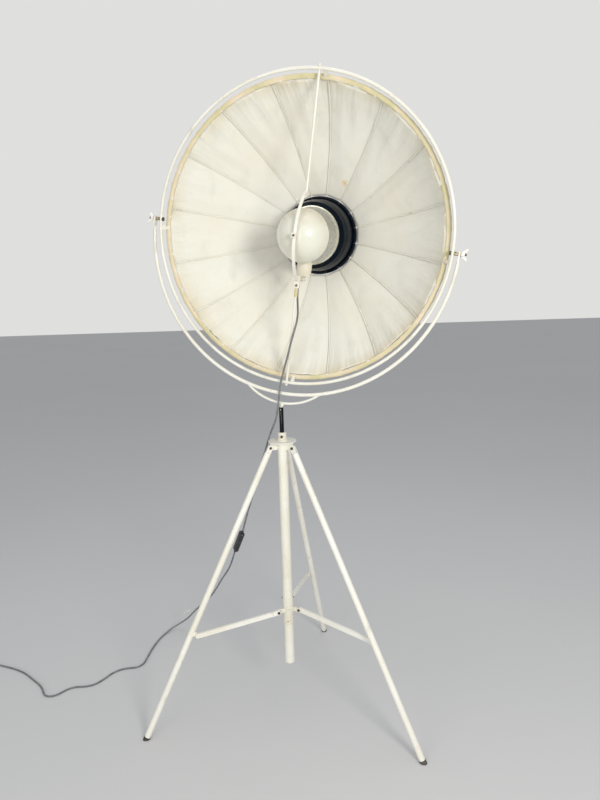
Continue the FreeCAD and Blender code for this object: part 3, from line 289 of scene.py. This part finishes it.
cord_low = cord_curve("cord_to_plug", fall_route + floor_route + coil_route(), "stand")
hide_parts("cord_head")
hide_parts("cord_hang")
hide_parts("cord_fall", "cord_floor", "cord_coil")
sheath = Finish("cord_sheath", roughness=0.52)
dusty = sheath.noise(45, 3)
sheath.set("Base Color", dusty.ramp(0.35, 0.75).blend((0.125, 0.135, 0.14), (0.235, 0.245, 0.245)))
sheath.bump(sheath.noise(900, 1), 0.0001)
for piece in (cord_top, cord_free, cord_low):
    sheath.wear(piece.name)

# The small white wire tie left on the cord where it passes behind the leg: two thin curled tails.
tie_routes = (
    (
        (-397, 486, 100), (-404, 478, 112), (-416, 474, 116), (-430, 474, 110), (-436, 478, 98),
        (-433, 484, 88),
    ),
    ((-393, 494, 104), (-388, 489, 109), (-383, 482, 110), (-378, 476, 107), (-372, 474, 101)),
)
for number, route in enumerate(tie_routes, start=1):
    tail = cord_curve("cord_tie_%d" % number, metres(route), "stand", TIE_R)
tie_white = Finish("tie_white", roughness=0.45)
tie_tone = tie_white.noise(120).ramp(0.3, 0.8)
tie_white.set("Base Color", tie_tone.blend((0.80, 0.79, 0.74), (0.62, 0.60, 0.54)))
tie_white.wear("cord_tie_1", "cord_tie_2")


# ------------------------------------------------------------------ inline switch and plug
# Glossy black moulded plastic in two shells, worn to a faint haze by fingers; the slider is ribbed.
shell = Finish("switch_plastic", roughness=0.22, coat=0.2)
haze = shell.noise(60, 4)
shell.set("Base Color", haze.ramp(0.4, 0.8).blend((0.012, 0.012, 0.013), (0.035, 0.036, 0.037)))
shell.set("Roughness", haze * 0.25 + 0.14)
shell.bump(shell.noise(600, 2), 0.00008)
shell.wear("switch_body", "plug_body")
key = Finish("switch_key_plastic", roughness=0.4)
ribs = (key.axis("Z") * 2600.0).wave()
# The slider's colour follows the rib wave, lighter on the crests and darker in the grooves: painted highlight
# and painted shade.
key.set("Base Color", ribs.ramp(-1, 1).blend((0.02, 0.02, 0.02), (0.07, 0.07, 0.07)))
key.bump(ribs, 0.0004)
key.wear("switch_slider")
pin_metal = Finish("plug_pin_metal", roughness=0.28, metallic=1.0)
pin_metal.set("Base Color", pin_metal.noise(90, 3).blend((0.62, 0.55, 0.38), (0.80, 0.76, 0.62)))
pin_metal.wear("plug_pins", "bulb_cap")


# ------------------------------------------------------------------ painted steel
# Cream semi-gloss paint, aged: yellowed in broad patches, rubbed, with small chips down to dull metal.
def cream_paint(name, chips, gloss=0.34, tint=(0.80, 0.79, 0.70), aged=(0.70, 0.66, 0.53)):
    paint = Finish(name, roughness=gloss, coat=0.12)
    patches = paint.noise(7, 3)
    specks = paint.noise(140, 4)
    rubbed = paint.noise(28, 5, (1, 1, 0.35))
    tone = patches.ramp(0.42, 0.78).blend(tint, aged)
    soiled = rubbed.ramp(0.60, 0.82).blend(tone, (0.55, 0.51, 0.42))
    bare = specks.ramp(1 - chips, 1 - chips + 0.03)
    paint.set("Base Color", bare.blend(soiled, (0.16, 0.13, 0.10)))
    paint.set("Roughness", rubbed * 0.3 + gloss - 0.12)
    paint.bump(paint.noise(420, 2) * 0.6 - bare, 0.00012)
    return paint


cream_paint("post_paint", 0.27).wear("post_tube", "post_end_cap", "top_disc", "leg_lugs")
cream_paint("leg_paint", 0.26, 0.36, (0.83, 0.82, 0.75), (0.76, 0.73, 0.62)).wear(
    "leg_tube_1", "leg_tube_2", "leg_tube_3", "strut_1", "strut_2", "strut_3"
)
cream_paint("collar_paint", 0.33, 0.38, (0.76, 0.74, 0.64), (0.62, 0.57, 0.44)).wear(
    "slide_collar", "top_collar", "collar_clamp_screw", "lower_clamp", "shield_clamp", "ring_clips"
)
cream_paint("ring_paint", 0.24, 0.30, (0.80, 0.79, 0.71), (0.73, 0.70, 0.58)).wear(
    "outer_ring", "yoke_arc", "yoke_brace", "upper_rod", "lower_rod", "shield_strap"
)
cream_paint("rib_paint", 0.22, 0.42, (0.80, 0.79, 0.72), (0.70, 0.67, 0.57)).wear("dish_ribs", "rim_hoop")
cream_paint("nut_paint", 0.28, 0.28, (0.88, 0.88, 0.84), (0.80, 0.78, 0.70)).wear(
    "wing_nut_left", "wing_nut_right"
)


# ------------------------------------------------------------------ bulb shield
# Spun steel bowl in gloss cream enamel, browner in patches towards the top.
SHIELD_MIDDLE_Z = 1.595
SHIELD_TOP_Z = 1.668
enamel = Finish("shield_enamel", roughness=0.20, coat=0.35)
near_top = enamel.axis("Z").ramp(SHIELD_MIDDLE_Z, SHIELD_TOP_Z)
browned = near_top * enamel.noise(22, 3).ramp(0.25, 0.75)
warm = enamel.noise(11, 3).ramp(0.3, 0.8).blend((0.76, 0.77, 0.68), (0.71, 0.70, 0.58))
enamel.set("Base Color", browned.blend(warm, (0.52, 0.40, 0.26)))
enamel.set("Roughness", enamel.noise(40, 4) * 0.22 + 0.10)
enamel.bump(enamel.noise(16, 2), 0.0006, 0.4)
enamel.wear("bulb_shield")


# ------------------------------------------------------------------ black mast rod
# Polished steel rod lacquered black, with fine rings and scratches where the clamp screw has run.
lacquer = Finish("mast_lacquer", roughness=0.22)
lacquer.shader.inputs["IOR"].default_value = 1.25
scratches = lacquer.noise(60, 5, (6, 6, 0.25)).ramp(0.60, 0.68)
rings = lacquer.noise(35, 4, (0.4, 0.4, 7)).ramp(0.66, 0.72)
worn = (scratches + rings).ramp(0, 1.6)
lacquer.set("Base Color", worn.blend((0.006, 0.006, 0.007), (0.10, 0.095, 0.085)))
lacquer.set("Roughness", lacquer.noise(80, 3) * 0.3 + 0.10)
lacquer.bump(scratches * -1.0, 0.00015)
lacquer.wear("mast_rod")


# ------------------------------------------------------------------ small metal parts
# Screws and rivets gone dark brown; the lean pin dull zinc grey; brass washers, dark at the ends.
dark = Finish("dark_screw_metal", roughness=0.45, metallic=0.8)
dark.set("Base Color", dark.noise(160, 4).ramp(0.35, 0.75).blend((0.055, 0.047, 0.04), (0.20, 0.16, 0.12)))
dark.bump(dark.noise(900, 2), 0.0001)
dark.wear(
    "leg_hinge_screws", "mast_clamp_screw", "collar_pins", "collar_set_screws", "pivot_bolt_left",
    "pivot_bolt_right", "rod_clamp_screws", "hub_rivets",
)
zinc = Finish("dull_zinc", roughness=0.42, metallic=0.9)
zinc.set("Base Color", zinc.noise(110, 4).ramp(0.3, 0.75).blend((0.52, 0.51, 0.48), (0.33, 0.31, 0.28)))
zinc.bump(zinc.noise(500, 3), 0.0001)
zinc.wear("lean_pin")
brass = Finish("dull_brass", roughness=0.38, metallic=0.9)
brass.set("Base Color", brass.noise(200, 4).ramp(0.4, 0.7).blend((0.66, 0.57, 0.37), (0.20, 0.16, 0.10)))
brass.bump(brass.noise(700, 2), 0.0001)
brass.wear("pivot_washers_left", "pivot_washers_right")


# ------------------------------------------------------------------ rubber feet
# Moulded black rubber tips plugged into the tubes, dusty near the floor.
rubber = Finish("foot_rubber", roughness=0.7)
dust = rubber.axis("Z").ramp(0.035, 0.0) * rubber.noise(90, 4).ramp(0.3, 0.7)
rubber.set("Base Color", dust.blend((0.018, 0.018, 0.018), (0.13, 0.12, 0.105)))
rubber.bump(rubber.noise(320, 3), 0.0003)
rubber.wear("leg_foot_1", "leg_foot_2", "leg_foot_3")


# ------------------------------------------------------------------ hub bell and reflector
# The bell is gloss black enamel on spun steel; the reflector in its mouth is satin aluminium, finely marked
# by spinning.
bell = Finish("bell_enamel", roughness=0.12)
bell.shader.inputs["IOR"].default_value = 1.13
smears_and_blue_reflection = bell.noise(26, 4)
# Bluish black, bluer in patches: the blue tint is a painted reflection of the room, and the patches also
# stand for smears.
bell.set("Base Color", smears_and_blue_reflection.ramp(0.35, 0.8).blend((0.002, 0.004, 0.007), (0.004, 0.010, 0.022)))
bell.set("Roughness", smears_and_blue_reflection * 0.15 + 0.06)
bell.bump(bell.noise(9, 2), 0.0015, 0.3)
bell.wear("hub_bell", "hub_ring")
satin = Finish("reflector_satin", roughness=0.34, metallic=1.0)
spun = satin.noise(130, 3)
satin.set("Base Color", spun.ramp(0.3, 0.8).blend((0.80, 0.79, 0.70), (0.62, 0.60, 0.50)))
satin.set("Roughness", satin.noise(55, 4) * 0.35 + 0.18)
satin.bump(spun, 0.0003, 0.5)
satin.wear("hub_reflector")


# ------------------------------------------------------------------ lamp holder and bulb
# Cream moulded holder, a little yellow, with a soft tapered relief on the cord; opal glass bulb, unlit.
moulded = Finish("holder_plastic", roughness=0.42)
bands = (moulded.axis("Z") * 1500.0).wave()
moulded.set("Base Color", moulded.noise(30, 3).blend((0.78, 0.74, 0.62), (0.66, 0.60, 0.46)))
moulded.bump(moulded.noise(380, 2) + bands * 0.2, 0.0002)
moulded.wear("lamp_holder", "holder_relief", "mast_bush")
opal = Finish("opal_glass", roughness=0.16, coat=0.4)
opal.set("Base Color", opal.noise(18, 2).blend((0.90, 0.89, 0.85), (0.84, 0.82, 0.76)))
opal.bump(opal.noise(30, 1), 0.0003, 0.3)
opal.wear("bulb_glass")


# ------------------------------------------------------------------ insulating sleeve on the lower rod
# A short yellowed plastic tube pushed over the rod just under the clamp, rounded at both ends.
SLEEVE_R = 0.0052
SLEEVE_LENGTH = 0.026
SLEEVE_PLACE = (0.011, 0, -0.170)  # in the head's frame
fresh()
bpy.ops.mesh.primitive_cylinder_add(vertices=32, radius=SLEEVE_R, depth=SLEEVE_LENGTH, location=SLEEVE_PLACE)
bpy.ops.object.mode_set(mode="EDIT")
bpy.ops.mesh.bevel(offset=0.0012, segments=3)
bpy.ops.object.mode_set(mode="OBJECT")
sleeve = bpy.context.active_object
sleeve.matrix_world = HEAD @ sleeve.matrix_world
sleeve = keep("rod_sleeve", "head")
bpy.ops.object.shade_smooth_by_angle(angle=math.radians(40))
yellowed = Finish("sleeve_plastic", roughness=0.45)
yellowed.set("Base Color", yellowed.noise(180, 3).blend((0.72, 0.63, 0.36), (0.55, 0.45, 0.22)))
yellowed.bump(yellowed.noise(700, 2), 0.0001)
yellowed.wear("rod_sleeve")


# ------------------------------------------------------------------ dish cloth
# Off-white woven cloth in gores, stretched over the backs of the ribs like an umbrella and gathered round the
# rim hoop: straight between ribs, drawn in a little at mid-gore, with puckers and slack folds near the rim.
RIBS = 16
RIM_DEPTH = 0.0185
RIM = Vector((0.434, RIM_DEPTH))
MIDDLE = Vector((0.287, 0.170))
HUB = Vector((0.123, 0.2522))
CLOTH_BEHIND_RIB = 0.0037
CLOTH_FIRST_SHARE = 0.004
CLOTH_SHARES = 0.978
FIRST_RIB_ANGLE = 90 + 18  # degrees
COLUMNS_PER_GORE = 28
ROWS = 46
CLOTH_THICKNESS = 0.0008
GORE_SAG = 0.006  # how far the middle of a gore is drawn in
RIM_FOLD = 0.0035
SLACK_FOLD = 0.0016
HUB_FOLD = 0.0010
PUCKER_DEPTH = 0.0011
SHADED_FROM = 0.130  # the radii between which rim_share goes from 0 to 1
SHADED_OVER = 0.310


def circle_through(a, b, c):
    """The centre of the circle through three points."""
    d = 2 * (a.x * (b.y - c.y) + b.x * (c.y - a.y) + c.x * (a.y - b.y))
    aa, bb, cc = a.dot(a), b.dot(b), c.dot(c)
    x = (aa * (b.y - c.y) + bb * (c.y - a.y) + cc * (a.y - b.y)) / d
    y = (aa * (c.x - b.x) + bb * (a.x - c.x) + cc * (b.x - a.x)) / d
    return Vector((x, y))


RIB_CENTRE = circle_through(RIM, MIDDLE, HUB)
RIB_ARC_R = (RIM - RIB_CENTRE).length
ANGLE_RIM = math.atan2(RIM.y - RIB_CENTRE.y, RIM.x - RIB_CENTRE.x)
ANGLE_HUB = math.atan2(HUB.y - RIB_CENTRE.y, HUB.x - RIB_CENTRE.x)


def rib_point(share, offset):
    """(radius, depth) on the rib's arc, from rim 0 to hub 1, offset to its back."""
    angle = ANGLE_RIM + (ANGLE_HUB - ANGLE_RIM) * share
    reach = RIB_ARC_R + offset
    return RIB_CENTRE + Vector((reach * math.cos(angle), reach * math.sin(angle)))


def cloth_point(around, share):
    """Point of the cloth: around counts ribs from the first one, share runs from the rim to the hub."""
    gore = around % 1.0
    mid = math.sin(math.pi * gore)
    place = rib_point(CLOTH_FIRST_SHARE + CLOTH_SHARES * share, CLOTH_BEHIND_RIB)
    chord = math.cos(math.pi / RIBS) / math.cos(math.pi / RIBS * (2 * gore - 1))
    radius = place.x * chord
    depth = place.y - GORE_SAG * mid * math.sin(math.pi * share) ** 0.8
    near_rim = (1 - share) ** 3
    seed = math.floor(around % RIBS)
    sway = math.sin(3.1 * seed + 1.3) + 0.6 * math.sin(5.7 * seed)
    depth -= RIM_FOLD * near_rim * mid * (1 + math.sin(2 * math.pi * 3 * gore + 2.1 * sway))
    depth -= SLACK_FOLD * mid * math.sin(2 * math.pi * (2 * gore + 1.7 * share) + 1.9 * sway) * (1 - share)
    depth -= HUB_FOLD * mid * math.sin(9 * share + 4 * gore + sway) * share * (1 - share) * 4
    pucker = math.sin(2 * math.pi * (6.5 * gore + 1.2 * share) + 2.3 * sway)
    pucker += math.sin(2 * math.pi * 4.3 * gore + sway)
    depth -= PUCKER_DEPTH * mid * near_rim ** 2 * pucker
    angle = 2 * math.pi * around / RIBS + math.radians(FIRST_RIB_ANGLE)
    return HEAD @ Vector((radius * math.cos(angle), depth, radius * math.sin(angle)))


fresh()
bpy.ops.mesh.primitive_grid_add(x_subdivisions=RIBS * COLUMNS_PER_GORE, y_subdivisions=ROWS, size=2)
cloth = bpy.context.active_object
for vertex in cloth.data.vertices:
    vertex.co = cloth_point((vertex.co.x + 1) / 2 * RIBS, (vertex.co.y + 1) / 2)
bpy.ops.object.mode_set(mode="EDIT")
bpy.ops.mesh.select_all(action="SELECT")
bpy.ops.mesh.remove_doubles(threshold=0.0002)
bpy.ops.mesh.normals_make_consistent(inside=False)
bpy.ops.object.mode_set(mode="OBJECT")
bpy.ops.object.shade_smooth()
cloth = keep("dish_cloth", "head")
depth_map = cloth.data.attributes.new("rim_share", "FLOAT", "POINT")
seam_map = cloth.data.attributes.new("gore", "FLOAT", "POINT")
to_head = HEAD.inverted()
for number, vertex in enumerate(cloth.data.vertices):
    local = to_head @ vertex.co
    radius = math.hypot(local.x, local.z)
    depth_map.data[number].value = (radius - SHADED_FROM) / SHADED_OVER
    turn = (math.degrees(math.atan2(local.z, local.x)) - FIRST_RIB_ANGLE) / (360 / RIBS)
    seam_map.data[number].value = abs((turn + 0.5) % 1.0 - 0.5)
solid = cloth.modifiers.new("thickness", "SOLIDIFY")
solid.thickness = CLOTH_THICKNESS
solid.offset = 0
bpy.context.view_layer.objects.active = cloth
bpy.ops.object.modifier_apply(modifier="thickness")
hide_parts("dish_fabric")

weave = Finish("dish_weave", roughness=0.86)
weave.shader.inputs["Sheen Weight"].default_value = 0.15
rim_share = weave.attribute("rim_share")
from_rib = weave.attribute("gore")
blotches = weave.noise(5, 4)
folds = weave.noise(16, 5, (1, 1, 0.5))
clean = blotches.ramp(0.35, 0.75).blend((0.79, 0.79, 0.71), (0.77, 0.73, 0.63))
# Darker grey-green cloth where the fold noise rises, the same noise that bumps the folds: painted shade in
# the folds.
painted_fold_shade = folds.ramp(0.55, 0.85).blend(clean, (0.68, 0.68, 0.59))
yellow_rim = (rim_share.ramp(0.88, 1.0) * blotches.ramp(0.3, 0.6)).blend(painted_fold_shade, (0.66, 0.58, 0.40))
# A narrow darker band along each rib: painted shade beside the ribs.
painted_rib_shade = from_rib.ramp(0.035, 0.0).blend(yellow_rim, (0.66, 0.65, 0.56))
RUST_SPOT = (0.231, 0.158, 1.755)  # one small spot on the upper right
spot = weave.distance(RUST_SPOT).ramp(0.014, 0.004) * weave.noise(160, 2).ramp(0.3, 0.6)
weave.set("Base Color", spot.blend(painted_rib_shade, (0.72, 0.42, 0.10)))
THREAD_SCALE = 900
threads = weave.noise(THREAD_SCALE, 1, (1, 1, 3)) + weave.noise(THREAD_SCALE, 1, (3, 3, 1))
creases = (from_rib * 58.0 + folds * 11.0 + blotches * 9.0).wave() * rim_share.ramp(0.70, 1.0)
weave.bump(threads * 0.12 + folds * 1.2 + weave.noise(60, 3) * 0.35 + creases * 0.34, 0.0018, 0.7)
weave.wear("dish_cloth")


# ------------------------------------------------------------------ hem
# The cloth's edge is folded round the hoop and sewn: a soft, yellowed beige sleeve that swells unevenly
# between the stitches.
HEM_RADIUS = 0.438
HEM_HALF_WIDTH = 0.0078
HEM_HALF_DEPTH = 0.0046
fresh()
bpy.ops.mesh.primitive_torus_add(
    major_segments=384, minor_segments=14, major_radius=HEM_RADIUS, minor_radius=HEM_HALF_WIDTH,
    location=(0, RIM_DEPTH, 0), rotation=(math.pi / 2, 0, 0),
)
hem = keep("dish_hem", "head")
for vertex in hem.data.vertices:
    angle = math.atan2(vertex.co.z, vertex.co.x)
    centre = Vector((HEM_RADIUS * math.cos(angle), RIM_DEPTH, HEM_RADIUS * math.sin(angle)))
    swell = 1 + 0.09 * math.sin(96 * angle) + 0.05 * math.sin(37 * angle + 1) + 0.04 * math.sin(211 * angle)
    away = (vertex.co - centre) * swell
    away.y *= HEM_HALF_DEPTH / HEM_HALF_WIDTH
    vertex.co = HEAD @ (centre + away)
hem.data.update()
bpy.ops.object.shade_smooth()
hem_cloth = Finish("hem_cloth", roughness=0.85)
hem_tone = hem_cloth.noise(14, 4)
hem_cloth.set("Base Color", hem_tone.ramp(0.35, 0.65).blend((0.76, 0.65, 0.47), (0.62, 0.57, 0.33)))
hem_cloth.bump(hem_cloth.noise(900, 2) + hem_cloth.noise(90, 2), 0.0006)
hem_cloth.wear("dish_hem")


# ------------------------------------------------------------------ floor, light, background
# Stage only: a pale floor that keeps the lamp's shadow, a soft light from the right, a wide fill from the
# left and a weak one from above.
fresh()
bpy.ops.mesh.primitive_plane_add(size=40)
floor = bpy.context.active_object
floor.name = "stage_floor"
ground = Finish("stage_ground", roughness=0.8)
ground.set("Base Color", ground.noise(0.6, 2).blend((0.60, 0.60, 0.60), (0.64, 0.64, 0.64)))
floor.data.materials.append(ground.material)


def soft_light(name, energy, size, place, target, colour):
    data = bpy.data.lights.new(name, "AREA")
    data.energy = energy
    data.shape = "DISK"
    data.size = size
    data.color = colour
    light = bpy.data.objects.new(name, data)
    bpy.context.scene.collection.objects.link(light)
    light.location = place
    light.rotation_euler = (Vector(target) - Vector(place)).to_track_quat("-Z", "Y").to_euler()


soft_light("key", 52, 0.9, (1.25, -2.8, 1.85), (0, 0, 1.5), (1.0, 0.97, 0.92))
soft_light("fill", 38, 2.4, (-1.6, -3.0, 1.3), (0.1, 0, 1.6), (1.0, 0.98, 0.96))
soft_light("top", 22, 2.5, (0.3, 0.2, 4.2), (0, 0, 0.8), (1.0, 1.0, 1.0))

world = bpy.data.worlds.new("studio")
bpy.context.scene.world = world
world.use_nodes = True
tree = world.node_tree
tree.nodes.clear()
seen = tree.nodes.new("ShaderNodeBackground")
seen.inputs["Color"].default_value = (0.74, 0.74, 0.73, 1)
lighting = tree.nodes.new("ShaderNodeBackground")
lighting.inputs["Color"].default_value = (0.95, 0.97, 1.0, 1)
lighting.inputs["Strength"].default_value = 0.52
rays = tree.nodes.new("ShaderNodeLightPath")
direct = tree.nodes.new("ShaderNodeMixShader")
output = tree.nodes.new("ShaderNodeOutputWorld")
tree.links.new(rays.outputs["Is Camera Ray"], direct.inputs["Fac"])
tree.links.new(lighting.outputs[0], direct.inputs[1])
tree.links.new(seen.outputs[0], direct.inputs[2])
tree.links.new(direct.outputs[0], output.inputs["Surface"])
bpy.context.scene.view_settings.view_transform = "Standard"
